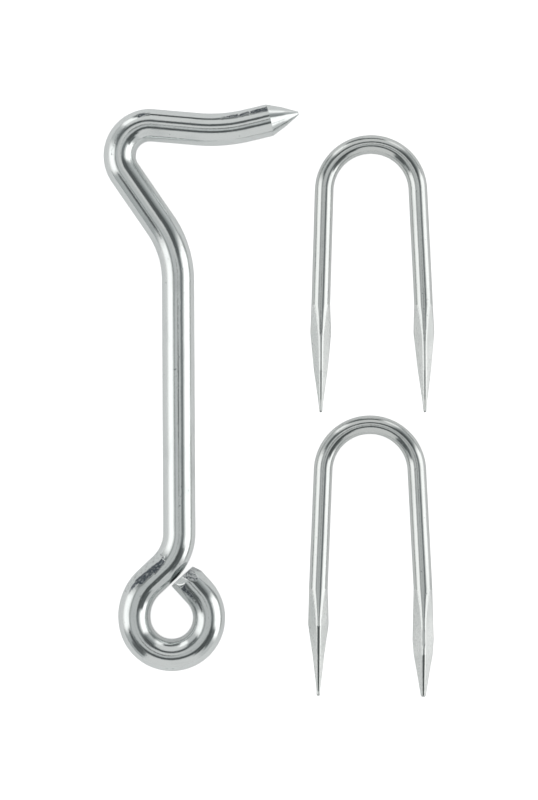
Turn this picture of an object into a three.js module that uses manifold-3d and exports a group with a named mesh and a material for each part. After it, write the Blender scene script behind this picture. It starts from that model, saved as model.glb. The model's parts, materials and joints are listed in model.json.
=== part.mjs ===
// A wire gate hook with its two drive-in staples: a loose kit of three pieces, laid flat as it is sold.
//
// Each piece is one length of round wire, bent in one plane. The hook has a coned nose at one end and
// a turned eye at the other. The staples are U-shaped, with four-sided pinched points. Millimetres and
// degrees throughout: X runs across the kit, Y along the hook, Z up from the face that it lies on.

import * as THREE from 'three';
import { mergeVertices } from 'three/addons/utils/BufferGeometryUtils.js';
import Module from 'manifold-3d';

const wasm = await Module();
wasm.setup();

// ---- Driving dimensions ----------------------------------------------------------------------

const HOOK_WIRE = 6.0;
const HOOK_SIDES = 20;
const HOOK_STEPS = 104;

// The hook's centre line, from the shoulder of the nose cone to the end of the eye.
const NOSE_SHOULDER = [0.2, 52.0];
const NOSE_HEADING = 193.5;
const EYE_RADIUS = 6.9;
const EYE_TAIL = 4.4;
const HOOK_BENDS = [
  { straight: 4.5 },
  { radius: 28.0, turn: -18.5 }, // slight droop that makes the nose point upwards
  { straight: 8.4 },
  { radius: 5.65, turn: 129.6 }, // the hook's main bend
  { straight: 11.5 },
  { radius: 18.5, turn: -34.3 }, // eases into the shank
  { straight: 46.6 }, // the shank
  { radius: 9.0, turn: -47.1 }, // neck, leaning back so that the eye sits under the shank
  { straight: 3.8 },
  { radius: 8.6, turn: 56.9 },
  { radius: EYE_RADIUS, turn: 212.0 },
  { straight: EYE_TAIL },
];

// The turned nose, as [distance from the shoulder, radius]: a hair smaller than the wire where it
// leaves it, sides with the least belly, and a blunt tip.
const NOSE_OUTLINE = [
  [0, 2.95],
  [2.7, 1.82],
  [5.25, 0.45],
  [5.4, 0.27],
];

const TAIL_CUT = 1.5; // length of the two slopes that the wire cutter leaves
const TAIL_EDGE = 1.4; // thickness left between them

const STAPLE_WIRE = 3.5;
const STAPLE_SIDES = 16;
const STAPLE_STEPS = 40;
const CROWN_RADIUS = 8.7;
const POINT_LENGTH = 20.0; // from the first trace of the flats to the tip
const FLATS_FULL = 16.0; // distance from the tip at which the point is fully four-sided
const POINT_WIDTH = 3.86; // across the side ridges, which the pinching pushes outwards
const FLATS = 4; // how many flats the pinching leaves
const FLATS_RIDGE = 2.05; // where the flats would meet, from the axis

// A leg's splay leans it outwards. Its taper lists [distance from the tip, half-width] of its ridges.
const CATCH_STAPLE = {
  crown: [18.9, 38.9],
  legs: [
    { splay: 1.7, tip: -2.1, taper: [[0, 0.3], [2.2, 0.5], [7.8, 1.3], [14.8, 1.95]] },
    { splay: 2.8, tip: -2.1, taper: [[0, 0.3], [2.2, 0.5], [7.8, 1.25], [14.8, 1.95]] },
  ],
};
const PIVOT_STAPLE = {
  crown: [18.7, -13.1],
  legs: [
    { splay: 2.3, tip: -54.7, taper: [[0, 0.38], [1.6, 0.42], [7.7, 1.11], [13.2, 1.9]] },
    { splay: 2.95, tip: -54.9, taper: [[0, 0.5], [3.2, 0.95], [7.9, 1.78], [10.6, 1.95]] },
  ],
};

const OVERLAP = 0.5; // how far two joined lengths run into each other
const SPARE = 0.1; // how far a cutting body stands clear of what it cuts
const WELD = 1e-4; // corners closer than this become one
const ZINC = { color: 0xc9cccd, roughness: 0.28, metalness: 1.0 };

// ---- Helpers ---------------------------------------------------------------------------------

const rad = THREE.MathUtils.degToRad;

// Centre line of a bent wire: straights and bends end to end, walked at a constant rate.
class BentWire extends THREE.Curve {
  constructor([x, y], heading, bends) {
    super();
    this.spans = [];
    this.length = 0;
    let at = new THREE.Vector3(x, y, 0);
    let angle = rad(heading);
    for (const { straight, radius, turn = 0 } of bends) {
      const length = straight ?? radius * rad(Math.abs(turn));
      const span = { at, angle, length, turn: rad(turn), from: this.length };
      this.spans.push(span);
      this.length += length;
      at = BentWire.along(span, 1);
      angle += span.turn;
    }
    this.end = at;
    this.endHeading = THREE.MathUtils.radToDeg(angle);
  }

  static along({ at, angle, length, turn }, part) {
    const chord = turn === 0 ? part : Math.sin((turn * part) / 2) / (turn / 2);
    const lean = angle + (turn * part) / 2;
    const ahead = new THREE.Vector3(Math.cos(lean), Math.sin(lean), 0);
    return at.clone().addScaledVector(ahead, length * chord);
  }

  locate(t) {
    const reach = THREE.MathUtils.clamp(t, 0, 1) * this.length;
    const span = this.spans.findLast((s) => s.from <= reach);
    return [span, Math.min((reach - span.from) / span.length, 1)];
  }

  getPoint(t) {
    return BentWire.along(...this.locate(t));
  }

  getTangent(t) {
    const [span, part] = this.locate(t);
    const angle = span.angle + span.turn * part;
    return new THREE.Vector3(Math.cos(angle), Math.sin(angle), 0);
  }

  getUtoTmapping(u) {
    return u;
  }
}

// Regular section with a flat face up and a flat face down, so that the wire lies on a real face.
function roundSection(diameter, sides) {
  const corner = diameter / 2 / Math.cos(Math.PI / sides);
  const points = [];
  for (let k = 0; k < sides; k += 1) {
    const angle = ((k + 0.5) * 2 * Math.PI) / sides;
    points.push(new THREE.Vector2(corner * Math.cos(angle), corner * Math.sin(angle)));
  }
  return new THREE.Shape(points);
}

function bentWire(path, diameter, sides, steps) {
  return new THREE.ExtrudeGeometry(roundSection(diameter, sides), { extrudePath: path, steps });
}

// Turned or many-sided body on the Y axis: outline lists [distance along Y, radius].
function turned(outline, sides, firstCorner = 0) {
  const points = outline.map(([along, radius]) => new THREE.Vector2(radius, along));
  points.unshift(new THREE.Vector2(0, outline[0][0]));
  points.push(new THREE.Vector2(0, outline.at(-1)[0]));
  return new THREE.LatheGeometry(points, sides, rad(firstCorner));
}

function toSolid(geometry) {
  const bare = geometry.clone();
  bare.deleteAttribute('normal');
  bare.deleteAttribute('uv');
  const merged = mergeVertices(bare, WELD);
  return new wasm.Manifold(
    new wasm.Mesh({
      numProp: 3,
      vertProperties: new Float32Array(merged.attributes.position.array),
      triVerts: new Uint32Array(merged.index.array),
    }),
  );
}

function toGeometry(solid) {
  const mesh = solid.getMesh();
  const geometry = new THREE.BufferGeometry();
  geometry.setAttribute('position', new THREE.BufferAttribute(mesh.vertProperties, 3));
  geometry.setIndex(new THREE.BufferAttribute(mesh.triVerts, 1));
  geometry.computeVertexNormals();
  return geometry;
}

function piece(name, solid, height) {
  const mesh = new THREE.Mesh(toGeometry(solid), new THREE.MeshStandardMaterial(ZINC));
  mesh.name = name;
  mesh.position.z = height;
  return mesh;
}

// ---- Gate hook -------------------------------------------------------------------------------

// Cone turned on the end of the wire, pointing back against the way that the path starts.
function noseCone() {
  const cone = turned([[-OVERLAP, NOSE_OUTLINE[0][1]], ...NOSE_OUTLINE], HOOK_SIDES);
  cone.rotateZ(rad(NOSE_HEADING + 90));
  cone.translate(...NOSE_SHOULDER, 0);
  return toSolid(cone);
}

// What a wire cutter's upper or lower jaw takes off the end of the eye.
function cutterBite(path, side) {
  const half = HOOK_WIRE / 2;
  const profile = new THREE.Shape([
    new THREE.Vector2(SPARE, (side * TAIL_EDGE) / 2),
    new THREE.Vector2(SPARE, side * (half + SPARE)),
    new THREE.Vector2(-TAIL_CUT, side * (half + SPARE)),
  ]);
  const bite = new THREE.ExtrudeGeometry(profile, { depth: HOOK_WIRE + 2 * SPARE, bevelEnabled: false });
  bite.translate(0, 0, -half - SPARE);
  bite.rotateX(Math.PI / 2);
  bite.rotateZ(rad(path.endHeading));
  bite.translate(path.end.x, path.end.y, 0);
  return toSolid(bite);
}

function gateHook() {
  const path = new BentWire(NOSE_SHOULDER, NOSE_HEADING, HOOK_BENDS);
  const wire = toSolid(bentWire(path, HOOK_WIRE, HOOK_SIDES, HOOK_STEPS));
  const hook = wire.add(noseCone()).subtract(cutterBite(path, 1)).subtract(cutterBite(path, -1));
  return piece('gate_hook', hook, HOOK_WIRE / 2);
}

// ---- Staples ---------------------------------------------------------------------------------

// Four-sided point, ridges to the sides and to the front and back, tip down at the origin.
function pinchedPoint(taper) {
  const round = STAPLE_WIRE / 2;
  const corner = 1 / Math.cos(Math.PI / STAPLE_SIDES);
  const top = POINT_LENGTH + OVERLAP;
  const blank = turned(
    [
      [0, (POINT_WIDTH / 2) * corner],
      [FLATS_FULL, (POINT_WIDTH / 2) * corner],
      [POINT_LENGTH, round * corner],
      [top, round * corner],
    ],
    STAPLE_SIDES,
    180 / STAPLE_SIDES,
  );
  const flats = turned(
    [...taper, [FLATS_FULL, FLATS_RIDGE], [POINT_LENGTH, round * Math.SQRT2], [top, POINT_WIDTH]],
    FLATS,
  );
  const slab = new THREE.BoxGeometry(2 * POINT_WIDTH, 2 * top, STAPLE_WIRE);
  slab.translate(0, top - OVERLAP, 0);
  return toSolid(blank).intersect(toSolid(flats)).intersect(toSolid(slab));
}

function staple(name, { crown, legs }) {
  const [left, right] = legs;
  // Each leg leaves the crown's arc at its splay angle and runs straight down to the top of its point.
  const lengths = legs.map(({ splay, tip }) => {
    const leaves = crown[1] + CROWN_RADIUS * Math.sin(rad(splay));
    return (leaves - tip - POINT_LENGTH) / Math.cos(rad(splay));
  });
  const start = [
    crown[0] - CROWN_RADIUS * Math.cos(rad(left.splay)) - lengths[0] * Math.sin(rad(left.splay)),
    left.tip + POINT_LENGTH,
  ];
  const path = new BentWire(start, 90 - left.splay, [
    { straight: lengths[0] },
    { radius: CROWN_RADIUS, turn: left.splay + right.splay - 180 },
    { straight: lengths[1] },
  ]);
  let solid = toSolid(bentWire(path, STAPLE_WIRE, STAPLE_SIDES, STAPLE_STEPS));
  for (const [leg, x] of [[left, start[0]], [right, path.end.x]]) {
    solid = solid.add(pinchedPoint(leg.taper).translate([x, leg.tip, 0]));
  }
  return piece(name, solid, STAPLE_WIRE / 2);
}

// ---- The kit, lying flat with its origin under the middle of it --------------------------------

const laidOut = new THREE.Group();
laidOut.add(gateHook());
laidOut.add(staple('pivot_staple', PIVOT_STAPLE));
laidOut.add(staple('catch_staple', CATCH_STAPLE));

const box = new THREE.Box3().setFromObject(laidOut, true);
const middle = box.getCenter(new THREE.Vector3());
laidOut.position.set(-middle.x, -middle.y, -box.min.z);

const kit = new THREE.Group();
kit.add(laidOut);

export default kit;
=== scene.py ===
# %% [markdown]
# # A wire gate hook and its two staples
#
# A gate hook is about the plainest thing a wire former makes. One length of round wire is coned at one end,
# bent over to a nose, run down to a shank, and turned round a pin into an eye. Two U staples with pinched
# points go with it: one is driven through the eye and holds the hook, and the nose drops into the other. All
# three are plated with bright zinc and sold loose.
#
# What makes bent wire look real is the path of the bends, the shape of its ends, the marks that the tools
# left, and the room mirrored in the plating. The steps below take those in turn.

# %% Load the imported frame
import json
import math

import bpy
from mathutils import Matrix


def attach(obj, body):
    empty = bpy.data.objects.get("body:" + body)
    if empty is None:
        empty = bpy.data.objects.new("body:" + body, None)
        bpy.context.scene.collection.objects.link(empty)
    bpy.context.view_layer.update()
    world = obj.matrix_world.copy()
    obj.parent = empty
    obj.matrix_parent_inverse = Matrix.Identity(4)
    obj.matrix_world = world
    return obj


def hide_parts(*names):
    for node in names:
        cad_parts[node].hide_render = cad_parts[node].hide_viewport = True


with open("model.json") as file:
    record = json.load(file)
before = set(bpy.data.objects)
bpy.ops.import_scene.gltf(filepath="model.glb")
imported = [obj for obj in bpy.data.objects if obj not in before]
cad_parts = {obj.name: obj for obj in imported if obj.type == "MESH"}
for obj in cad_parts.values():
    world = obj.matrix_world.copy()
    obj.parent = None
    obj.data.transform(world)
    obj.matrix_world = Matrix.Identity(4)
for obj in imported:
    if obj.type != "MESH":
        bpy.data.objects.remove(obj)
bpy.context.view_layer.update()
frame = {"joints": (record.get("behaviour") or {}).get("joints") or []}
MM = 0.001
joints = {joint["name"]: joint for joint in frame["joints"]}

# %% [markdown]
# ## Camera
#
# The camera comes first, because every later choice is judged through it. How far the camera stands matters
# even for flat work: bright wire mirrors the room, and a near camera makes those mirrored lines drift along a
# long part.

# %% The camera, looking straight down
LENS = 100.0
VIEW_LONG_SIDE = 148.0 * MM
VIEW_CENTRE = (0.01 * MM, 0.18 * MM)
WIRE_MIDDLE = 3.0 * MM

camera_data = bpy.data.cameras.new("bench_camera")
camera_data.lens = LENS
camera = bpy.data.objects.new("bench_camera", camera_data)
bpy.context.scene.collection.objects.link(camera)
camera_height = VIEW_LONG_SIDE * LENS / camera_data.sensor_width
camera.location = (*VIEW_CENTRE, WIRE_MIDDLE + camera_height)
bpy.context.scene.camera = camera
print("camera stands", round(camera_height / MM), "mm above the wire")

# %% [markdown]
# ## Bend tables
#
# A wire former works from a bend table: so much straight, then a bend of this radius through that angle, and
# so on to the end. It is also the shortest true description of the shape, so the centre lines here are bend
# tables too. A hand-drawn curve could follow the same line, but its radii would be guesses and its straights
# would bow.
#
# The walk along the table gives a station every third of a millimetre, and closer ones where the wire is
# worked. Each station keeps its place, its distance along the wire, and later the shape of the section there.

# %% Walking a bend table
STATION_GAP = 0.34 * MM
FINE_GAP = 0.12 * MM
LEAST_GAP = 0.02 * MM
SAME_PLACE = 1e-9


def straight(length):
    """A straight stretch, in millimetres."""
    return {"length": length * MM, "turn": 0.0}


def bend(radius, degrees):
    """A bend of that centre-line radius, in millimetres; a left turn is positive."""
    turn = math.radians(degrees)
    return {"length": abs(turn) * radius * MM, "turn": turn}


def step_along(x, y, angle, span, distance):
    """Where that distance into a span ends, from the span's start and heading."""
    turned = span["turn"] * distance / span["length"]
    chord = distance if turned == 0.0 else distance * math.sin(turned / 2) / (turned / 2)
    return x + chord * math.cos(angle + turned / 2), y + chord * math.sin(angle + turned / 2)


def station_distances(table, fine, extra):
    """Distances along the wire, in order: even ones, closer ones in the fine stretches, and extra ones."""
    wanted = set(extra)
    for low, high in fine:
        count = math.ceil((high - low) * MM / FINE_GAP)
        wanted.update(low * MM + (high - low) * MM * k / count for k in range(count + 1))
    total = 0.0
    for span in table:
        count = max(1, math.ceil(span["length"] / STATION_GAP))
        wanted.update(total + span["length"] * k / count for k in range(count + 1))
        total += span["length"]
    distances = []
    for distance in sorted(wanted):
        if not distances or distance - distances[-1] > LEAST_GAP:
            distances.append(distance)
    return distances


def walk(start, heading, table, fine=(), extra=()):
    """Stations (along, x, y) down the wire, and the heading at its end."""
    distances = station_distances(table, fine, extra)
    stations = []
    x, y = start
    angle = math.radians(heading)
    passed = 0.0
    for span in table:
        end = passed + span["length"]
        for distance in [d for d in distances if passed - SAME_PLACE <= d < end - SAME_PLACE]:
            stations.append((distance, *step_along(x, y, angle, span, distance - passed)))
        x, y = step_along(x, y, angle, span, span["length"])
        angle += span["turn"]
        passed = end
    stations.append((passed, x, y))
    return stations, angle


quarter_bend, _ = walk((0.0, 0.0), 0.0, [bend(10.0, 90.0)])
print("a quarter bend of 10 mm radius takes", len(quarter_bend), "stations")

# %% [markdown]
# ## The hook's bends
#
# From the tip of the nose: the cone, a slight droop that keeps the nose pointing up, the main bend, an easy
# curve into the shank, a neck that leans back, and the eye. The eye starts in an easy bend, runs a little
# more than half a turn round the pin, and ends in a short straight that comes up against the neck. Its centre
# is the axis that the hook swings on, so the drawing's zero is found by laying it on that joint.

# %% The hook's bend table
HOOK_RADIUS = 3.0 * MM
CONE_LENGTH = 5.4
NOSE_HEADING = 193.5
SHOULDER = (0.2 * MM, 52.0 * MM)
EYE_RADIUS = 6.9
HOOK_TABLE = [
    straight(CONE_LENGTH),
    straight(4.5),
    bend(28.0, -18.5),
    straight(8.4),
    bend(5.65, 129.6),
    straight(11.5),
    bend(18.5, -34.3),
    straight(46.6),
    bend(9.0, -47.1),
    straight(3.8),
    bend(8.6, 56.9),
    bend(EYE_RADIUS, 212.0),
    straight(4.4),
]
SPANS_BEFORE_EYE = 11


def eye_centre(start, heading, table):
    """Centre of the eye's bend, for a hook whose walk starts there."""
    stations, angle = walk(start, heading, table[:SPANS_BEFORE_EYE])
    _, x, y = stations[-1]
    return x - EYE_RADIUS * MM * math.sin(angle), y + EYE_RADIUS * MM * math.cos(angle)


nose_angle = math.radians(NOSE_HEADING)
nose_tip = (
    SHOULDER[0] - CONE_LENGTH * MM * math.cos(nose_angle),
    SHOULDER[1] - CONE_LENGTH * MM * math.sin(nose_angle),
)
drawn_eye = eye_centre(nose_tip, NOSE_HEADING, HOOK_TABLE)
pivot = joints["hook_swing"]["pos_m"]
DRAWING_SHIFT = (pivot[0] - drawn_eye[0], pivot[1] - drawn_eye[1])
hook_length = sum(span["length"] for span in HOOK_TABLE)
print("hook wire is", round(hook_length / MM, 1), "mm long")
print("the drawing shifts", [round(v / MM, 3) for v in DRAWING_SHIFT], "mm to lay the eye on its joint")

# %% [markdown]
# ## Section rules
#
# Wire is round until something squeezes, turns or cuts it. Four numbers at each station say what happened
# there:
#
# * swell: the radius of the round blank, which shrinks down a turned cone.
# * flats: how far from the axis the four pinched flats of a staple's point lie.
# * crest and edge: how rounded the ridges between the flats are, at top and bottom, and at the two sides.
#
# Modelling the points by hand, or cutting them with booleans, would also do. Rules keep every vertex in its
# ring, so the mesh stays even and the polish has nothing to trip over.

# %% Reading a value from a short table of distances
NO_LIMIT = 1.0


def blend_through(table, at):
    """Value at a distance, from [distance, value] pairs, straight between them."""
    if at <= table[0][0]:
        return table[0][1]
    for (a, low), (b, high) in zip(table, table[1:]):
        if at <= b:
            return low + (high - low) * (at - a) / (b - a)
    return table[-1][1]


def section(swell, flats=NO_LIMIT, crest=NO_LIMIT, edge=NO_LIMIT):
    """The section's four numbers at one station, in metres."""
    return {"swell": swell, "flats": flats, "crest": crest, "edge": edge}


print("plain hook wire:", section(HOOK_RADIUS))

# %% [markdown]
# ### The hook's nose
#
# The nose cone was turned on a lathe: a hair of a shoulder where the tool went in, straight sides with the
# least belly, and a blunt tip. A short outline of distances and radii is all that a turned shape needs. The
# far end was nipped off by cutters, and its slopes come later, with the tool marks.

# %% The hook's sections
CONE_OUTLINE = [[0.0, 0.26], [0.1, 0.4], [0.35, 0.5], [2.7, 1.78], [CONE_LENGTH, 2.93]]


def hook_section(along):
    """Section of the hook's wire at that distance from the nose's tip."""
    from_tip = along / MM
    if from_tip <= CONE_LENGTH:
        return section(blend_through(CONE_OUTLINE, from_tip) * MM)
    return section(HOOK_RADIUS)


print("the nose's tip is", round(2 * hook_section(0.0)["swell"] / MM, 2), "mm across")

# %% [markdown]
# ## The staples
#
# Each staple is a U: a crown bent round a pin, and two legs that spring open a degree or two when they come
# off it. The points are not ground. The wire is pinched between two pairs of dies into a long four-sided
# point, which leaves flats that start as narrow petals, rounded ridges between them, and no two points quite
# alike. So the rounding of the ridges is shared, and each point has its own taper: its half width at a
# distance from the tip.

# %% The staples' sizes, in millimetres and degrees
HALF_WIRE = 1.75
STAPLE_RADIUS = HALF_WIRE * MM
CROWN_RADIUS = 8.7
KINK_RADIUS = 4.0
POINT_LENGTH = 20.0
ROUND_WIRE = [POINT_LENGTH, HALF_WIRE]
CREST_ROUNDING = [
    [0.0, 0.24],
    [2.4, 0.36],
    [6.0, 0.44],
    [12.0, 0.5],
    [14.0, 0.62],
    [16.0, 0.9],
    [18.4, 1.35],
    ROUND_WIRE,
]
EDGE_ROUNDING = [[0.0, 0.15], [13.2, 0.2], [15.0, 0.4], [18.0, 1.1], ROUND_WIRE]
STAPLES = {
    "catch_staple": {
        "crown": (18.9, 38.9),
        "splay": (1.7, 2.8),
        "point_lean": (0.0, 0.8),
        "tips": (-2.1, -2.1),
        "tapers": (
            [[0.0, 0.2], [0.25, 0.3], [2.2, 0.5], [7.8, 1.3], [14.8, 1.96], ROUND_WIRE],
            [[0.0, 0.2], [0.25, 0.3], [2.2, 0.5], [7.8, 1.25], [14.8, 1.96], ROUND_WIRE],
        ),
    },
    "pivot_staple": {
        "crown": (18.7, -13.1),
        "splay": (2.3, 2.95),
        "point_lean": (0.0, 0.2),
        "tips": (-54.7, -54.9),
        "tapers": (
            [[0.0, 0.24], [0.3, 0.4], [0.8, 0.34], [1.6, 0.42], [7.7, 1.13], [13.2, 1.92], ROUND_WIRE],
            [[0.0, 0.34], [0.2, 0.5], [3.2, 0.97], [7.9, 1.78], [10.6, 1.98], ROUND_WIRE],
        ),
    },
}


def staple_table(plan):
    """Start point, heading and bend table of a staple, from its left point's tip to its right one's."""
    legs = []
    for splay, lean, tip in zip(plan["splay"], plan["point_lean"], plan["tips"]):
        leaves = plan["crown"][1] + CROWN_RADIUS * math.sin(math.radians(splay))
        point = POINT_LENGTH * math.cos(math.radians(lean))
        kink = KINK_RADIUS * math.radians(abs(splay - lean))
        legs.append((leaves - tip - point) / math.cos(math.radians(splay)) - kink)
    left, right = plan["splay"]
    left_lean, right_lean = plan["point_lean"]
    tilt = math.radians(left)
    x = plan["crown"][0] - CROWN_RADIUS * math.cos(tilt) - legs[0] * math.sin(tilt)
    x -= POINT_LENGTH * math.sin(math.radians(left_lean))
    table = [
        straight(POINT_LENGTH),
        bend(KINK_RADIUS, left_lean - left),
        straight(legs[0]),
        bend(CROWN_RADIUS, left + right - 180.0),
        straight(legs[1]),
        bend(KINK_RADIUS, right_lean - right),
        straight(POINT_LENGTH),
    ]
    return (x * MM, plan["tips"][0] * MM), 90.0 - left_lean, table


for name, plan in STAPLES.items():
    _, _, table = staple_table(plan)
    print(name, "takes", round(sum(span["length"] for span in table) / MM, 1), "mm of wire")

# %% [markdown]
# ### A pinched point's section
#
# The four flats make a square that stands on its corner, with its corners rounded: those are the ridges.
# Metal that is pinched spreads, so a point may bulge a little past the wire, up to a set share of its radius.

# %% The section of a pinched point
ROOT_TWO = math.sqrt(2)
MOST_SPREAD = 1.15


def point_section(from_tip, taper):
    """Section of a pinched point at that distance from its tip, in millimetres."""
    if from_tip >= POINT_LENGTH:
        return section(STAPLE_RADIUS)
    crest = blend_through(CREST_ROUNDING, from_tip)
    edge = blend_through(EDGE_ROUNDING, from_tip)
    half_width = blend_through(taper, from_tip)
    flats = (half_width + edge * (ROOT_TWO - 1.0)) / ROOT_TWO
    return section(MOST_SPREAD * STAPLE_RADIUS, flats * MM, min(crest, flats) * MM, min(edge, flats) * MM)


first_tip = point_section(0.0, STAPLES["catch_staple"]["tapers"][0])
print("a point's flats start", round(first_tip["flats"] / MM, 2), "mm from the axis")

# %% [markdown]
# ## Tool marks
#
# Wire is bent cold, gripped in steel jaws, and the jaws bite. This hook shows a broken line of grip marks
# along the top of its nose, a nick and a rub at its main bend, a deep scrape down the outside of the neck
# where the eye's former held it, and the cutters' slopes at its end. A pressed flat is simple to describe:
# pick a direction out of the wire, and nothing may stand further out in that direction than the wire's radius
# less the depth. Letting the depth run from one value to another along the wire tilts the flat, which makes a
# scrape that dies out to a point, or the slope that a cutter leaves. The long scrape on the neck is three
# such flats that run into each other.
#
# Bump mapping could fake these marks, but the outline of the wire changes too, so they are cut in the mesh.

# %% The marks
# Start, end, direction, depth at the start, depth at the end and tooth depth, in millimetres and degrees, and
# darkness. Direction 0 is the wire's right-hand side, looking along the walk, and 90 is up.
HOOK_MARKS = {
    "nose_grip_first": (5.5, 8.7, 50.0, 0.10, 0.06, 0.025, 0.95),
    "nose_grip_second": (8.9, 10.9, 49.0, 0.06, 0.05, 0.025, 0.9),
    "nose_grip_third": (11.1, 14.6, 49.0, 0.06, 0.03, 0.02, 0.9),
    "bend_nick": (27.8, 29.5, 54.0, 0.03, 0.075, 0.02, 0.95),
    "bend_rub": (32.2, 37.0, 66.0, 0.02, 0.03, 0.02, 0.7),
    "shank_nick": (66.7, 67.3, 97.0, 0.012, 0.010, 0.0, 0.5),
    "neck_press": (114.9, 124.0, 34.0, 0.30, 0.06, 0.015, 0.45),
    "neck_scrape_top": (115.3, 118.4, 66.0, 0.06, 0.17, 0.025, 1.0),
    "neck_scrape_middle": (117.6, 121.6, 60.0, 0.14, 0.16, 0.030, 1.0),
    "neck_scrape_end": (120.8, 124.0, 50.0, 0.14, 0.02, 0.030, 0.95),
    "neck_burr": (114.7, 115.2, 50.0, 0.08, 0.14, 0.0, 1.2),
    "eye_pit_left": (137.8, 138.15, 38.0, 0.03, 0.03, 0.0, 1.0),
    "eye_pit_right": (138.75, 139.0, 38.0, 0.03, 0.03, 0.0, 1.0),
    "eye_scratch": (136.0, 141.0, 56.0, 0.003, 0.003, 0.0, 0.6),
    "end_side_press": (152.6, 159.2, 24.0, 0.0, 0.42, 0.014, 0.35),
    "end_inner_scuff": (154.0, 157.6, 118.0, 0.02, 0.09, 0.02, 1.0),
    "end_inner_press": (154.8, 159.2, 150.0, 0.05, 0.24, 0.0, 0.3),
    "end_shoulder": (156.6, 159.2, 61.0, 0.0, 0.62, 0.02, 0.75),
    "end_corner": (157.2, 159.2, 8.0, 0.10, 1.30, 0.02, 0.65),
    "end_top_slope": (157.72, 159.2, 99.0, 0.0, 0.86, 0.006, 0.15),
    "end_bottom_slope": (157.9, 159.2, 270.0, 0.0, 0.80, 0.0, 0.0),
}
HOOK_FINE = [(5.4, 15.0), (27.6, 29.6), (114.2, 124.4), (137.6, 139.2), (152.4, 158.8)]
CATCH_MARKS = {
    "leg_nick": (88.3, 88.7, 112.0, 0.045, 0.035, 0.0, 0.85),
    "left_die_line": (9.6, 9.9, 130.0, 0.03, 0.03, 0.0, 0.5),
}
PIVOT_MARKS = {
    "left_die_line": (9.2, 9.5, 50.0, 0.03, 0.03, 0.0, 0.5),
    "right_die_line": (98.4, 98.8, 130.0, 0.05, 0.05, 0.0, 0.6),
}
print(len(HOOK_MARKS), "marks on the hook and", len(CATCH_MARKS) + len(PIVOT_MARKS), "on the staples")

# %% [markdown]
# ## The sweep, as a node tree
#
# All three wires follow one rule, so one Geometry Nodes tree makes them all: sweep a circle along the
# stations, work out for every vertex how far out and how far up it sits from the centre line, apply the
# section rules and the marks, and put the vertex back. It also writes down where each vertex would be on the
# straight wire before it was bent. Drawing lines and plating follow the wire round its bends, and that stored
# place lets the material do so.
#
# The first helpers only save typing: one adds a node, one fills its sockets, and the rest are arithmetic.

# %% Helpers for building node trees
def add_node(tree, kind, **settings):
    """A new node with its settings made; its sockets are filled by feed."""
    node = tree.nodes.new(kind)
    for name, value in settings.items():
        setattr(node, name, value)
    return node


def feed(tree, socket, value):
    """Puts a number, a vector or another node's output into a socket."""
    if isinstance(value, bpy.types.NodeSocket):
        tree.links.new(value, socket)
    else:
        socket.default_value = value


def calc(tree, operation, *values):
    """Arithmetic on numbers: returns the output socket of a Math node."""
    node = add_node(tree, "ShaderNodeMath", operation=operation)
    for socket, value in zip(node.inputs, values):
        feed(tree, socket, value)
    return node.outputs[0]


def plus(tree, first, second):
    """The sum of two numbers."""
    return calc(tree, "ADD", first, second)


def minus(tree, first, second):
    """The first number less the second."""
    return calc(tree, "SUBTRACT", first, second)


def times(tree, first, second):
    """The product of two numbers."""
    return calc(tree, "MULTIPLY", first, second)


def over(tree, first, second):
    """The first number divided by the second."""
    return calc(tree, "DIVIDE", first, second)


# %% Helpers for vectors, steps and choices
def vector_calc(tree, operation, *values):
    """Arithmetic on vectors: returns the vector, or the number for a dot product."""
    node = add_node(tree, "ShaderNodeVectorMath", operation=operation)
    for socket, value in zip(node.inputs, values):
        feed(tree, socket, value)
    return node.outputs["Value" if operation == "DOT_PRODUCT" else "Vector"]


def joined(tree, x, y, z):
    """A vector from three numbers."""
    node = add_node(tree, "ShaderNodeCombineXYZ")
    for socket, value in zip(node.inputs, (x, y, z)):
        feed(tree, socket, value)
    return node.outputs["Vector"]


def scaled(tree, vector, amount):
    """A vector times a number."""
    node = add_node(tree, "ShaderNodeVectorMath", operation="SCALE")
    feed(tree, node.inputs[0], vector)
    feed(tree, node.inputs["Scale"], amount)
    return node.outputs["Vector"]


def ramp(tree, value, low, high, to_low=0.0, to_high=1.0):
    """Smooth step of a value from one range to another."""
    node = add_node(tree, "ShaderNodeMapRange", interpolation_type="SMOOTHSTEP")
    for socket, given in zip(node.inputs, (value, low, high, to_low, to_high)):
        feed(tree, socket, given)
    return node.outputs["Result"]


def choose(tree, share, first, second, data_type="FLOAT"):
    """The first number or colour where share is 0, the second where it is 1, and a mix between."""
    node = add_node(tree, "ShaderNodeMix", data_type=data_type)
    feed(tree, node.inputs["Factor"], share)
    feed(tree, node.inputs["A"], first)
    feed(tree, node.inputs["B"], second)
    return node.outputs["Result"]


# %% [markdown]
# ### One pressed flat
#
# The mark works on two numbers: out, to the wire's right-hand side, and up. It finds how far the vertex
# reaches in the mark's direction and takes off what is beyond the limit. It also reports how worn the place
# is, so that the material can dull the plating there. The bite of the jaws is a ripple in the depth.

# %% The pressed-flat group
WORN_FROM = 0.05 * MM
FLAT_INPUTS = ["Out", "Up", "Along", "Start", "End", "Direction", "Start Depth", "End Depth"]
FLAT_INPUTS += ["Tooth Depth", "Radius", "Darkness", "Ripple"]


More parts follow.
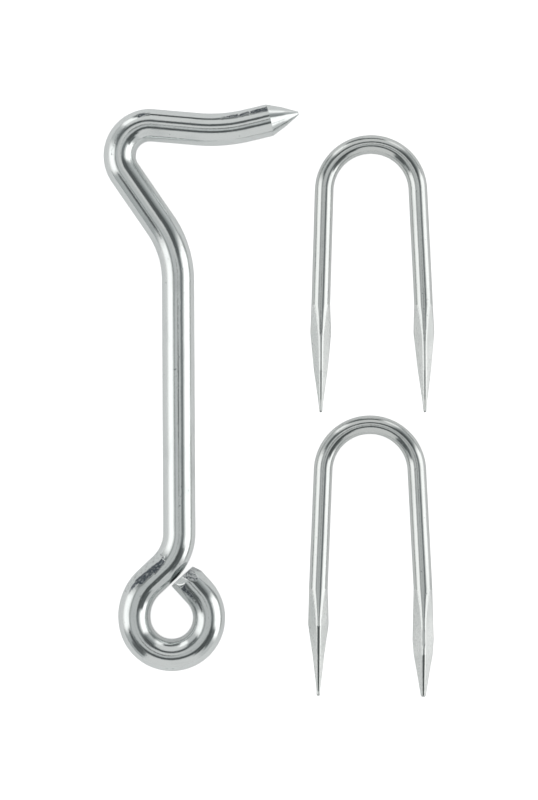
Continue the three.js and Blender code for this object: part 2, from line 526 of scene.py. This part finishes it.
def pressed_flat_group():
    """A node group that presses one flat into the wire."""
    tree = bpy.data.node_groups.new("pressed_flat", "GeometryNodeTree")
    for name in FLAT_INPUTS:
        tree.interface.new_socket(name, in_out="INPUT", socket_type="NodeSocketFloat")
    for name in ("Out", "Up", "Worn"):
        tree.interface.new_socket(name, in_out="OUTPUT", socket_type="NodeSocketFloat")
    given = tree.nodes.new("NodeGroupInput").outputs
    result = tree.nodes.new("NodeGroupOutput").inputs

    length = minus(tree, given["End"], given["Start"])
    share = over(tree, minus(tree, given["Along"], given["Start"]), length)
    # Between the start and the end, the share lies within a half of a half.
    inside = calc(tree, "COMPARE", share, 0.5, 0.5)
    deepening = times(tree, share, minus(tree, given["End Depth"], given["Start Depth"]))
    depth = plus(tree, given["Start Depth"], deepening)
    depth = plus(tree, depth, times(tree, given["Ripple"], given["Tooth Depth"]))

    cosine = calc(tree, "COSINE", given["Direction"])
    sine = calc(tree, "SINE", given["Direction"])
    reach = plus(tree, times(tree, given["Out"], cosine), times(tree, given["Up"], sine))
    excess = minus(tree, reach, minus(tree, given["Radius"], depth))
    taken = times(tree, calc(tree, "MAXIMUM", excess, 0.0), inside)
    feed(tree, result["Out"], minus(tree, given["Out"], times(tree, taken, cosine)))
    feed(tree, result["Up"], minus(tree, given["Up"], times(tree, taken, sine)))
    feed(tree, result["Worn"], times(tree, ramp(tree, taken, 0.0, WORN_FROM), given["Darkness"]))
    return tree


pressed_flat = pressed_flat_group()
print("pressed_flat has", len(pressed_flat.nodes), "nodes")

# %% [markdown]
# ### The blank
#
# The wire starts as a round blank, a circle swept along the stations. Named attributes carry what the curve
# knows over to the swept mesh: the centre-line point under each vertex and the direction that counts as out.

# %% The swept blank
UPWARDS = (0.0, 0.0, 1.0)


def attribute(tree, name, data_type="FLOAT"):
    """Reads a named attribute."""
    node = add_node(tree, "GeometryNodeInputNamedAttribute", data_type=data_type)
    node.inputs["Name"].default_value = name
    return node.outputs["Attribute"]


def store(tree, geometry, name, value, data_type="FLOAT"):
    """Writes a named attribute on the points."""
    node = add_node(tree, "GeometryNodeStoreNamedAttribute", data_type=data_type, domain="POINT")
    feed(tree, node.inputs["Geometry"], geometry)
    node.inputs["Name"].default_value = name
    feed(tree, node.inputs["Value"], value)
    return node.outputs["Geometry"]


def swept_blank(tree, inputs):
    """Circle swept along the stations, with the centre line and the outward direction written on it."""
    line = add_node(tree, "GeometryNodeMeshToCurve")
    feed(tree, line.inputs["Mesh"], inputs.outputs["Stations"])
    place = tree.nodes.new("GeometryNodeInputPosition").outputs["Position"]
    tangent = tree.nodes.new("GeometryNodeInputTangent").outputs["Tangent"]
    outward = vector_calc(tree, "NORMALIZE", vector_calc(tree, "CROSS_PRODUCT", tangent, UPWARDS))
    curve = store(tree, line.outputs["Curve"], "centre", place, "FLOAT_VECTOR")
    curve = store(tree, curve, "outward", outward, "FLOAT_VECTOR")
    circle = add_node(tree, "GeometryNodeCurvePrimitiveCircle")
    feed(tree, circle.inputs["Resolution"], inputs.outputs["Sides"])
    feed(tree, circle.inputs["Radius"], inputs.outputs["Wire Radius"])
    sweep = add_node(tree, "GeometryNodeCurveToMesh")
    feed(tree, sweep.inputs["Curve"], curve)
    feed(tree, sweep.inputs["Profile Curve"], circle.outputs["Curve"])
    sweep.inputs["Fill Caps"].default_value = True
    return sweep.outputs["Mesh"]


# %% [markdown]
# ### The section rules, in nodes
#
# A vertex keeps its direction from the axis, and the rules say how far out it goes: to the nearest flat, to a
# rounded ridge, or to the blank's own radius, whichever is least. The rules also mark the vertices that the
# dies pressed flat, because pinched plating is duller than drawn wire.

# %% The shaped section
def ridge(tree, ahead, aside, flats, rounding):
    """Distance to a rounded ridge between two flats, and whether the vertex is on its rounding.

    ahead and aside are the vertex's direction along the ridge's own direction and across it."""
    centre = times(tree, minus(tree, flats, rounding), ROOT_TWO)
    beside = times(tree, centre, aside)
    height = minus(tree, times(tree, rounding, rounding), times(tree, beside, beside))
    bulge = calc(tree, "SQRT", calc(tree, "MAXIMUM", height, 0.0))
    reach = plus(tree, times(tree, centre, ahead), bulge)
    half = over(tree, rounding, ROOT_TWO)
    limit = times(tree, ahead, half)
    on_rounding = calc(tree, "LESS_THAN", times(tree, aside, plus(tree, centre, half)), limit)
    return reach, on_rounding


def shaped_section(tree, wire_radius, centre, outward):
    """Out and up of each vertex after the section rules, and whether it lies on a pinched flat."""
    place = tree.nodes.new("GeometryNodeInputPosition").outputs["Position"]
    offset = vector_calc(tree, "SUBTRACT", place, centre)
    round_out = over(tree, vector_calc(tree, "DOT_PRODUCT", offset, outward), wire_radius)
    round_up = over(tree, vector_calc(tree, "DOT_PRODUCT", offset, UPWARDS), wire_radius)
    beside = calc(tree, "ABSOLUTE", round_out)
    above = calc(tree, "ABSOLUTE", round_up)

    flats = attribute(tree, "flats")
    radius = over(tree, times(tree, flats, ROOT_TWO), plus(tree, beside, above))
    crest, on_crest = ridge(tree, above, beside, flats, attribute(tree, "crest"))
    edge, on_edge = ridge(tree, beside, above, flats, attribute(tree, "edge"))
    radius = choose(tree, on_crest, radius, crest)
    radius = choose(tree, on_edge, radius, edge)
    swell = attribute(tree, "swell")
    pinched = times(tree, calc(tree, "LESS_THAN", radius, swell), minus(tree, 1.0, on_crest))
    radius = calc(tree, "MINIMUM", swell, radius)

    out = times(tree, round_out, radius)
    up = calc(tree, "MINIMUM", times(tree, round_up, radius), wire_radius)
    up = calc(tree, "MAXIMUM", up, times(tree, wire_radius, -1.0))
    return out, up, pinched


# %% [markdown]
# ### Marks and unevenness
#
# Each mark is one pressed-flat group in a row, so a new mark is one more line in the table of marks. The bite
# of the jaws and the slight waviness of drawn wire are the same noise, at two very different pitches.

# %% Pressing the marks
TOOTH_PITCH = 0.5 * MM
SWELL_PITCH = 5.0 * MM
RIPPLE_GAIN = 4.0
RIPPLE_DETAIL = 1.5


def ripples(tree, place, seed, pitch):
    """Noise over the wire's surface, mostly from -1 to 1, whose grains are about one pitch across."""
    node = add_node(tree, "ShaderNodeTexNoise", noise_dimensions="4D")
    feed(tree, node.inputs["Vector"], scaled(tree, place, 1.0 / pitch))
    feed(tree, node.inputs["W"], seed)
    node.inputs["Scale"].default_value = 1.0
    node.inputs["Detail"].default_value = RIPPLE_DETAIL
    return times(tree, minus(tree, node.outputs[0], 0.5), RIPPLE_GAIN)


def press_marks(tree, marks, out, up, along, inputs):
    """Runs out and up through one pressed flat for each mark, and keeps the greatest wear."""
    worn = 0.0
    ripple = ripples(tree, joined(tree, along, out, up), inputs.outputs["Seed"], TOOTH_PITCH)
    for name, (start, end, direction, start_depth, end_depth, tooth, darkness) in marks.items():
        press = add_node(tree, "GeometryNodeGroup", node_tree=pressed_flat, label=name)
        sizes = {
            "Start": start * MM,
            "End": end * MM,
            "Direction": math.radians(direction),
            "Start Depth": start_depth * MM,
            "End Depth": end_depth * MM,
            "Tooth Depth": tooth * MM,
            "Darkness": darkness,
            "Out": out,
            "Up": up,
            "Along": along,
            "Radius": inputs.outputs["Wire Radius"],
            "Ripple": ripple,
        }
        for socket, value in sizes.items():
            feed(tree, press.inputs[socket], value)
        out, up = press.outputs["Out"], press.outputs["Up"]
        worn = calc(tree, "MAXIMUM", worn, press.outputs["Worn"])
    return out, up, worn


def back_on_line(tree, inputs, rod, out, up, centre, outward):
    """Where each vertex goes on the bent wire, with the wire's slight unevenness."""
    swelling = ripples(tree, rod, inputs.outputs["Seed"], SWELL_PITCH)
    swelling = times(tree, swelling, inputs.outputs["Unevenness"])
    swelling = plus(tree, 1.0, over(tree, swelling, inputs.outputs["Wire Radius"]))
    sideways = scaled(tree, outward, times(tree, out, swelling))
    upwards = scaled(tree, UPWARDS, times(tree, up, swelling))
    return vector_calc(tree, "ADD", centre, vector_calc(tree, "ADD", sideways, upwards))


# %% [markdown]
# ### The whole tree
#
# The tree's named inputs are the sizes that differ from wire to wire. The last nodes smooth the faces, keep
# the edges crisp where a flat meets another sharply, realise the result, as an exported mesh has to be, and
# give it its plating.

# %% The wire tree
SHARP_ANGLE = math.radians(24.0)
TREE_INPUTS = {
    "Stations": "NodeSocketGeometry",
    "Wire Radius": "NodeSocketFloat",
    "Sides": "NodeSocketInt",
    "Unevenness": "NodeSocketFloat",
    "Seed": "NodeSocketFloat",
    "Plating": "NodeSocketMaterial",
}


def finished(tree, geometry, plating):
    """Smooth faces, crisp edges, a real mesh, and the plating on it."""
    smooth = add_node(tree, "GeometryNodeSetShadeSmooth", domain="FACE")
    feed(tree, smooth.inputs["Geometry"], geometry)
    angle = tree.nodes.new("GeometryNodeInputMeshEdgeAngle").outputs["Unsigned Angle"]
    crisp = add_node(tree, "GeometryNodeSetShadeSmooth", domain="EDGE")
    feed(tree, crisp.inputs["Geometry"], smooth.outputs["Geometry"])
    feed(tree, crisp.inputs["Selection"], calc(tree, "GREATER_THAN", angle, SHARP_ANGLE))
    crisp.inputs["Shade Smooth"].default_value = False
    real = add_node(tree, "GeometryNodeRealizeInstances")
    feed(tree, real.inputs["Geometry"], crisp.outputs["Geometry"])
    plate = add_node(tree, "GeometryNodeSetMaterial")
    feed(tree, plate.inputs["Geometry"], real.outputs["Geometry"])
    feed(tree, plate.inputs["Material"], plating)
    return plate.outputs["Geometry"]


def wire_tree(name, marks):
    """The tree that turns stations into one finished wire."""
    tree = bpy.data.node_groups.new(name, "GeometryNodeTree")
    for label, kind in TREE_INPUTS.items():
        tree.interface.new_socket(label, in_out="INPUT", socket_type=kind)
    tree.interface.new_socket("Wire", in_out="OUTPUT", socket_type="NodeSocketGeometry")
    inputs = tree.nodes.new("NodeGroupInput")
    outputs = tree.nodes.new("NodeGroupOutput")

    blank = swept_blank(tree, inputs)
    along = attribute(tree, "along")
    centre = attribute(tree, "centre", "FLOAT_VECTOR")
    outward = attribute(tree, "outward", "FLOAT_VECTOR")
    out, up, pinched = shaped_section(tree, inputs.outputs["Wire Radius"], centre, outward)
    out, up, worn = press_marks(tree, marks, out, up, along, inputs)
    rod = joined(tree, along, out, up)
    place = back_on_line(tree, inputs, rod, out, up, centre, outward)

    wire = store(tree, blank, "rod", rod, "FLOAT_VECTOR")
    wire = store(tree, wire, "worn", worn)
    wire = store(tree, wire, "pinched", pinched)
    move = add_node(tree, "GeometryNodeSetPosition")
    feed(tree, move.inputs["Geometry"], wire)
    feed(tree, move.inputs["Position"], place)
    result = finished(tree, move.outputs["Geometry"], inputs.outputs["Plating"])
    feed(tree, outputs.inputs["Wire"], result)
    return tree


# %% [markdown]
# ## Bright zinc
#
# Bright zinc plating is nearly a mirror, a touch green-grey in its darks. It is never perfect: the wire under
# it was drawn through a die, which leaves faint lines along its length, the plating is grainy in patches, and
# a few pits and scratches break it. Where the dies pinched the staples' points the plating is duller, and
# where jaws tore it the steel shows dark and ragged.
#
# All of it is read from the stored place on the straight wire, so the lines follow every bend. An image of
# scratched metal could be wrapped on instead, but it would stretch at the points and repeat. Each kind of
# unevenness is one noise, stretched along the wire as far as that kind runs.

# %% What is found over the plating
# Cycles per millimetre along, out and up, then detail, roughness and seed of each noise.
NOISES = {
    "drawn lines": ((0.05, 5.0, 5.0), 3.0, 0.5, 0.0),
    "fine grain": ((2.2, 3.5, 3.5), 3.0, 0.6, 3.0),
    "clouds": ((0.12, 0.35, 0.35), 2.0, 0.5, 7.0),
    "specks": ((1.7, 2.2, 2.2), 1.0, 0.5, 11.0),
    "tearing": ((3.0, 4.2, 4.2), 4.0, 0.7, 13.0),
}
LINES_BETWEEN = (0.35, 0.75)
PATCHES_BETWEEN = (0.5, 0.75)
PITS_BETWEEN = (0.72, 0.78)
TORN_BETWEEN = (0.9, 1.55)
RAGGED_GAIN = 2.4
RAGGED_SHIFT = -0.7


def stored(tree, name):
    """What the wire tree stored on the mesh under that name."""
    node = add_node(tree, "ShaderNodeAttribute", attribute_name=name, attribute_type="GEOMETRY")
    return node.outputs


def noise(tree, name, seed):
    """One of the noises above, laid over the straight wire."""
    stretch, detail, roughness, own_seed = NOISES[name]
    place = vector_calc(tree, "MULTIPLY", stored(tree, "rod")["Vector"], tuple(s / MM for s in stretch))
    node = add_node(tree, "ShaderNodeTexNoise", noise_dimensions="4D")
    feed(tree, node.inputs["Vector"], place)
    node.inputs["W"].default_value = seed + own_seed
    node.inputs["Scale"].default_value = 1.0
    node.inputs["Detail"].default_value = detail
    node.inputs["Roughness"].default_value = roughness
    return node.outputs["Fac"]


def zinc_surface(tree, seed):
    """Everything that is found over the plating, each a number from place to place."""
    found = {name: noise(tree, name, seed) for name in NOISES}
    for name in ("worn", "pinched"):
        found[name] = stored(tree, name)["Fac"]
        found[name + " grain"] = times(tree, found[name], found["tearing"])
    found["lines"] = ramp(tree, found["drawn lines"], *LINES_BETWEEN)
    found["patches"] = ramp(tree, found["clouds"], *PATCHES_BETWEEN)
    found["pits"] = ramp(tree, found["specks"], *PITS_BETWEEN)
    ragged = calc(tree, "MULTIPLY_ADD", found["tearing"], RAGGED_GAIN, RAGGED_SHIFT)
    found["torn"] = ramp(tree, plus(tree, found["worn"], ragged), *TORN_BETWEEN)
    return found


# %% [markdown]
# ### Colour, gloss and relief
#
# The same finds drive all three. Clean plate is pale and glossy, patches and pits are a little darker,
# pinched flats are paler but duller, and torn steel is dark and rough. The relief is a few hundredths of a
# millimetre in a bump, too fine to be worth mesh.

# %% The zinc material
PINCHED_COLOUR = (0.76, 0.775, 0.765, 1.0)
TORN_COLOUR = (0.09, 0.105, 0.12, 1.0)
PATCH_DULLING = 0.3
PINCHED_DULLING = (0.42, 0.75, 0.0, 0.6)
PLATE_ROUGHNESS = 0.10
MORE_ROUGHNESS = {"lines": 0.06, "patches": 0.06, "torn": 0.4, "pinched": 0.17}
RELIEF = {"drawn lines": 0.16, "fine grain": 0.22, "pits": -0.3, "worn grain": 2.0, "pinched grain": 0.8}
RELIEF_DEPTH = 0.03 * MM


def weighted(tree, start, found, weights):
    """A number plus each find times its weight."""
    total = start
    for name, weight in weights.items():
        total = plus(tree, total, times(tree, found[name], weight))
    return total


def zinc_colour(tree, found, clean, dull):
    """Colour of the plating from place to place."""
    dulled = calc(tree, "MAXIMUM", times(tree, found["patches"], PATCH_DULLING), found["pits"])
    frosted = times(tree, found["pinched"], ramp(tree, found["tearing"], *PINCHED_DULLING))
    dulled = calc(tree, "MAXIMUM", dulled, frosted)
    plate = choose(tree, found["pinched"], clean, PINCHED_COLOUR, "RGBA")
    colour = choose(tree, dulled, plate, dull, "RGBA")
    return choose(tree, found["torn"], colour, TORN_COLOUR, "RGBA")


def zinc(name, clean, dull, seed):
    """Bright zinc plate on drawn wire."""
    material = bpy.data.materials.new(name)
    material.use_nodes = True
    tree = material.node_tree
    shader = tree.nodes["Principled BSDF"]
    shader.inputs["Metallic"].default_value = 1.0
    found = zinc_surface(tree, seed)
    feed(tree, shader.inputs["Base Color"], zinc_colour(tree, found, clean, dull))
    feed(tree, shader.inputs["Roughness"], weighted(tree, PLATE_ROUGHNESS, found, MORE_ROUGHNESS))
    bump = add_node(tree, "ShaderNodeBump")
    bump.inputs["Strength"].default_value = 1.0
    bump.inputs["Distance"].default_value = RELIEF_DEPTH
    feed(tree, bump.inputs["Height"], weighted(tree, 0.0, found, RELIEF))
    feed(tree, shader.inputs["Normal"], bump.outputs["Normal"])
    return material


hook_zinc = zinc("hook_zinc", clean=(0.70, 0.725, 0.72, 1.0), dull=(0.42, 0.45, 0.45, 1.0), seed=1.0)
staple_zinc = zinc("staple_zinc", clean=(0.62, 0.64, 0.63, 1.0), dull=(0.44, 0.47, 0.46, 1.0), seed=21.0)
print("finishes:", hook_zinc.name, staple_zinc.name)

# %% [markdown]
# ## Making the wires
#
# The stations go in as a bare chain of edges with the section rules on its points. The modifier's result is
# then kept as a plain mesh and the modifier dropped, because a finished piece has to hold its own shape.

# %% From a bend table to a finished piece
SECTION_RULES = ("swell", "flats", "crest", "edge")
NOT_NEEDED = ("centre", "outward", "along", *SECTION_RULES)


def station_chain(name, stations, section_at):
    """A chain of edges through the stations, with the section rules written on its points."""
    mesh = bpy.data.meshes.new(name)
    shift_x, shift_y = DRAWING_SHIFT
    sections = [section_at(along) for along, _, _ in stations]
    # Half-way along, the wire is plain and round: it lies on the bench, its axis one radius up.
    height = sections[len(sections) // 2]["swell"]
    points = [(x + shift_x, y + shift_y, height) for _, x, y in stations]
    mesh.from_pydata(points, [(k, k + 1) for k in range(len(points) - 1)], [])
    columns = {rule: [made[rule] for made in sections] for rule in SECTION_RULES}
    columns["along"] = [along for along, _, _ in stations]
    for rule, values in columns.items():
        layer = mesh.attributes.new(rule, "FLOAT", "POINT")
        layer.data.foreach_set("value", values)
    return mesh


def make_wire(name, chain, tree, settings):
    """Runs the tree on a chain of stations and keeps its result as a plain mesh."""
    draft = bpy.data.objects.new(name + "_draft", chain)
    bpy.context.scene.collection.objects.link(draft)
    modifier = draft.modifiers.new("form_wire", "NODES")
    modifier.node_group = tree
    for item in tree.interface.items_tree:
        if item.name in settings:
            modifier[item.identifier] = settings[item.name]
    evaluated = draft.evaluated_get(bpy.context.evaluated_depsgraph_get())
    mesh = bpy.data.meshes.new_from_object(evaluated)
    mesh.name = name
    for spare in NOT_NEEDED:
        if spare in mesh.attributes:
            mesh.attributes.remove(mesh.attributes[spare])
    draft.modifiers.remove(modifier)
    bpy.data.objects.remove(draft)
    piece = bpy.data.objects.new(name, mesh)
    bpy.context.scene.collection.objects.link(piece)
    print(name, "has", len(mesh.vertices), "vertices; materials", [m.name for m in mesh.materials])
    return piece


# %% [markdown]
# ### The hook
#
# The outline of the cone turns at a few distances, and the shoulder is only a hair long. Stations are asked
# for exactly there, so that the corners of the outline stay corners.

# %% Making the hook
SHOULDER_LENGTH = 0.03

corners = [distance * MM for distance, _ in CONE_OUTLINE]
corners.append((CONE_LENGTH + SHOULDER_LENGTH) * MM)
hook_stations, _ = walk(nose_tip, NOSE_HEADING, HOOK_TABLE, HOOK_FINE, corners)
hook_chain = station_chain("hook_stations", hook_stations, hook_section)
hook_settings = {
    "Wire Radius": HOOK_RADIUS,
    "Sides": 96,
    "Unevenness": 0.012 * MM,
    "Seed": 4.0,
    "Plating": hook_zinc,
}
hook = make_wire("formed_hook", hook_chain, wire_tree("form_hook", HOOK_MARKS), hook_settings)
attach(hook, "gate_hook")
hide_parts("gate_hook")

# %% [markdown]
# ### The two staples
#
# Both go through the same steps. The walk runs from one tip to the other, so a section looks up whichever
# point is nearer. The points are the finest work of all, and get close stations over their whole length.

# %% Making the staples
for number, (name, marks) in enumerate((("catch_staple", CATCH_MARKS), ("pivot_staple", PIVOT_MARKS))):
    plan = STAPLES[name]
    start, heading, table = staple_table(plan)
    total = sum(span["length"] for span in table)
    left_taper, right_taper = plan["tapers"]

    def staple_section(along):
        """Section of this staple, from whichever tip is nearer."""
        if along < total / 2:
            return point_section(along / MM, left_taper)
        return point_section((total - along) / MM, right_taper)

    fine = [(0.0, POINT_LENGTH), (total / MM - POINT_LENGTH, total / MM)]
    stations, _ = walk(start, heading, table, fine)
    chain = station_chain(name + "_stations", stations, staple_section)
    settings = {
        "Wire Radius": STAPLE_RADIUS,
        "Sides": 80,
        "Unevenness": 0.009 * MM,
        "Seed": 9.0 + number,
        "Plating": staple_zinc,
    }
    staple = make_wire("formed_" + name, chain, wire_tree("form_" + name, marks), settings)
    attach(staple, name)
    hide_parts(name)

# %% [markdown]
# ## The light tent
#
# Polished wire has almost no colour of its own: it shows the room. Small bright parts are lit in a light
# tent, a box of white cloth with lamps outside it and an opening in the top. Every bright band and thin dark
# line along the wire is a wall, a lamp, a corner or the rim of that opening.
#
# Real lamps and cloth would do, at the price of noise in every reflection. The tent here is painted on the
# world by direction instead, and costs none: an opening overhead with a dark rim, pale walls with dark
# corners, a lamp on the left and one on the right, two weaker glows at the back, the stand that leans there,
# and the dark round of the lens right overhead.

# %% Directions in the tent
HALF_CIRCLE = 180.0
DEGREES = HALF_CIRCLE / math.pi


def near_azimuth(tree, azimuth, centre, flat, edge):
    """1 within flat degrees of a compass direction, falling smoothly to 0 over the edge."""
    turn = calc(tree, "WRAP", minus(tree, azimuth, centre), HALF_CIRCLE, -HALF_CIRCLE)
    return ramp(tree, calc(tree, "ABSOLUTE", turn), flat, flat + edge, 1.0, 0.0)


def band(tree, value, low, low_edge, high, high_edge):
    """1 between low and high, with smooth edges of the given widths outside them."""
    rise = ramp(tree, value, low - low_edge, low)
    fall = ramp(tree, value, high, high + high_edge, 1.0, 0.0)
    return times(tree, rise, fall)


def square_distance(tree, u, v, sides):
    """How far out in a lopsided square: 1 on its edge. The sides are right, left, back and front."""
    right, left, back, front = sides
    across = calc(tree, "MAXIMUM", over(tree, u, right), over(tree, u, -left))
    lengthways = calc(tree, "MAXIMUM", over(tree, v, back), over(tree, v, -front))
    return calc(tree, "MAXIMUM", across, lengthways)


# %% [markdown]
# ### What stands in the tent
#
# The opening and its rim are lopsided squares, given by how far they reach on each side at one unit of
# height. Everything else is a layer: a patch with a compass direction and a range of angles from overhead,
# painted over what is already there. Compass directions run from the right side (0) to the back (90).

# %% The opening, the rim and the layers
OPENING = (0.31, 0.47, 0.32, 0.275)
OPENING_EDGE = (0.87, 1.13)
RIM_OUTSIDE = (0.70, 0.59, 0.64, 0.60)
RIM_EDGE = (0.86, 1.14)
TOP_LIGHT = 0.64
WALL_LIGHT = 0.80
RIM_LIGHT = 0.10
# Compass direction, half width and its edge, and how much brighter the rim is there.
RIM_GLOWS = [(180.0, 20.0, 40.0, 0.15), (0.0, 15.0, 30.0, 0.14)]
# Compass direction, half width and its edge, lowest and highest angle from overhead with their edges, and
# brightness.
LAYERS = [
    ("top, towards the back", 90.0, 25.0, 30.0, 7.0, 4.0, 14.0, 4.0, 0.80),
    ("back glow, left", 122.0, 8.0, 8.0, 60.0, 10.0, 76.0, 12.0, 1.35),
    ("back glow, right", 61.0, 4.0, 12.0, 68.0, 9.0, 79.0, 9.0, 1.25),
    ("wall, back left", 143.0, 9.0, 6.0, 50.0, 6.0, 95.0, 5.0, 0.63),
    ("wall, back right", 40.0, 8.0, 9.0, 50.0, 8.0, 95.0, 5.0, 0.62),
    ("wall, front right", 322.0, 15.0, 8.0, 56.0, 8.0, 100.0, 5.0, 0.66),
    ("wall, front left", 216.0, 16.0, 6.0, 50.0, 8.0, 100.0, 5.0, 0.50),
    ("right lamp", 358.0, 22.0, 12.0, 50.0, 9.0, 84.0, 12.0, 1.55),
    ("left lamp", 180.0, 14.0, 13.0, 43.0, 9.0, 64.0, 26.0, 1.42),
    ("stand", 88.0, 11.0, 7.0, 69.0, 4.0, 78.0, 6.0, 0.08),
    ("stand's foot", 105.0, 6.0, 7.0, 74.0, 8.0, 90.0, 6.0, 0.18),
    ("corner, back right", 40.0, 13.0, 8.0, 18.0, 4.0, 33.0, 42.0, 0.12),
    ("foot of the wall, back right", 36.0, 12.0, 8.0, 84.0, 3.0, 89.0, 2.0, 0.25),
    ("corner, back left", 142.0, 10.0, 7.0, 27.0, 4.0, 46.0, 9.0, 0.17),
    ("corner, front left, top", 218.0, 15.0, 5.0, 38.0, 4.0, 50.0, 5.0, 0.12),
    ("corner, front left", 225.0, 8.0, 5.0, 46.0, 4.0, 66.0, 8.0, 0.14),
    ("corner, front right, top", 317.0, 18.0, 6.0, 21.0, 4.0, 43.0, 5.0, 0.10),
    ("corner, front right", 326.0, 12.0, 6.0, 40.0, 4.0, 56.0, 8.0, 0.14),
    ("lens", 0.0, 180.0, 1.0, 0.0, 1.0, 2.4, 1.6, 0.03),
]
print("the tent is painted in", len(LAYERS), "layers")

# %% [markdown]
# ### Painting the world
#
# The world's own direction gives the compass direction and the angle from overhead. Dim parts of the tent
# get a faint green-grey tint, and what the camera sees directly is kept at least as bright as paper, so that
# a low view has a pale backdrop.

# %% The light tent
LEAST_HEIGHT = 0.05
DIM_TINT = (0.93, 1.0, 1.01, 1.0)
LIT_TINT = (1.0, 1.0, 0.995, 1.0)
TINT_BETWEEN = (0.2, 0.9)
BACKDROP = 1.3


def tent_brightness(tree, direction):
    """Brightness of the tent in a direction."""
    split = add_node(tree, "ShaderNodeSeparateXYZ")
    feed(tree, split.inputs[0], direction)
    x, y, z = split.outputs
    overhead = times(tree, calc(tree, "ARCCOSINE", z), DEGREES)
    azimuth = times(tree, calc(tree, "ARCTAN2", y, x), DEGREES)
    height = calc(tree, "MAXIMUM", z, LEAST_HEIGHT)
    u = over(tree, x, height)
    v = over(tree, y, height)
    rim = RIM_LIGHT
    for centre, flat, edge, glow in RIM_GLOWS:
        rim = plus(tree, rim, times(tree, near_azimuth(tree, azimuth, centre, flat, edge), glow))
    top = ramp(tree, square_distance(tree, u, v, OPENING), *OPENING_EDGE, 1.0, 0.0)
    light = choose(tree, top, rim, TOP_LIGHT)
    walls = ramp(tree, square_distance(tree, u, v, RIM_OUTSIDE), *RIM_EDGE)
    light = choose(tree, walls, light, WALL_LIGHT)
    for _, centre, flat, edge, low, low_edge, high, high_edge, brightness in LAYERS:
        sideways = near_azimuth(tree, azimuth, centre, flat, edge)
        patch = times(tree, sideways, band(tree, overhead, low, low_edge, high, high_edge))
        light = choose(tree, patch, light, brightness)
    return light


world = bpy.data.worlds.new("light_tent")
world.use_nodes = True
bpy.context.scene.world = world
tree = world.node_tree
background = tree.nodes["Background"]
direction = add_node(tree, "ShaderNodeTexCoord").outputs["Generated"]
seen = add_node(tree, "ShaderNodeLightPath").outputs["Is Camera Ray"]
brightness = tent_brightness(tree, direction)
tint = choose(tree, ramp(tree, brightness, *TINT_BETWEEN), DIM_TINT, LIT_TINT, "RGBA")
strength = calc(tree, "MAXIMUM", brightness, times(tree, seen, BACKDROP))
feed(tree, background.inputs["Strength"], strength)
feed(tree, background.inputs["Color"], tint)
print("light_tent has", len(tree.nodes), "nodes")

# %% [markdown]
# ## The bench
#
# So the paper glows a little by itself, and more for the camera than for the wires, because paper that
# bright would wash out their undersides.

# %% The paper on the bench
HALF_SIDE = 2.0
PAPER_WHITE = (0.80, 0.80, 0.80, 1.0)
PAPER_ROUGHNESS = 0.9
PAPER_SHINE = 0.2
GLOW_WHITE = (1.0, 1.0, 1.0, 1.0)
PAPER_GLOW = 0.28
PAPER_LIFT = 0.5

bench_mesh = bpy.data.meshes.new("bench")
signs = ((-1, -1), (1, -1), (1, 1), (-1, 1))
bench_mesh.from_pydata([(x * HALF_SIDE, y * HALF_SIDE, 0) for x, y in signs], [], [(0, 1, 2, 3)])
bench = bpy.data.objects.new("bench", bench_mesh)
bpy.context.scene.collection.objects.link(bench)
paper = bpy.data.materials.new("white_paper")
paper.use_nodes = True
tree = paper.node_tree
shader = tree.nodes["Principled BSDF"]
shader.inputs["Base Color"].default_value = PAPER_WHITE
shader.inputs["Roughness"].default_value = PAPER_ROUGHNESS
shader.inputs["Specular IOR Level"].default_value = PAPER_SHINE
shader.inputs["Emission Color"].default_value = GLOW_WHITE
seen = add_node(tree, "ShaderNodeLightPath").outputs["Is Camera Ray"]
feed(tree, shader.inputs["Emission Strength"], plus(tree, PAPER_GLOW, times(tree, seen, PAPER_LIFT)))
bench_mesh.materials.append(paper)
print("the paper is", 2 * HALF_SIDE, "m square")

# %% [markdown]
# ## Colour handling
#
# Blender's usual view transform rolls off bright values, which turns white paper grey. The plain one keeps
# the paper white and the wire's greys as bright as they are.

# %% The plain view transform
bpy.context.scene.view_settings.view_transform = "Standard"
bpy.context.scene.view_settings.look = "None"
print("view transform:", bpy.context.scene.view_settings.view_transform)
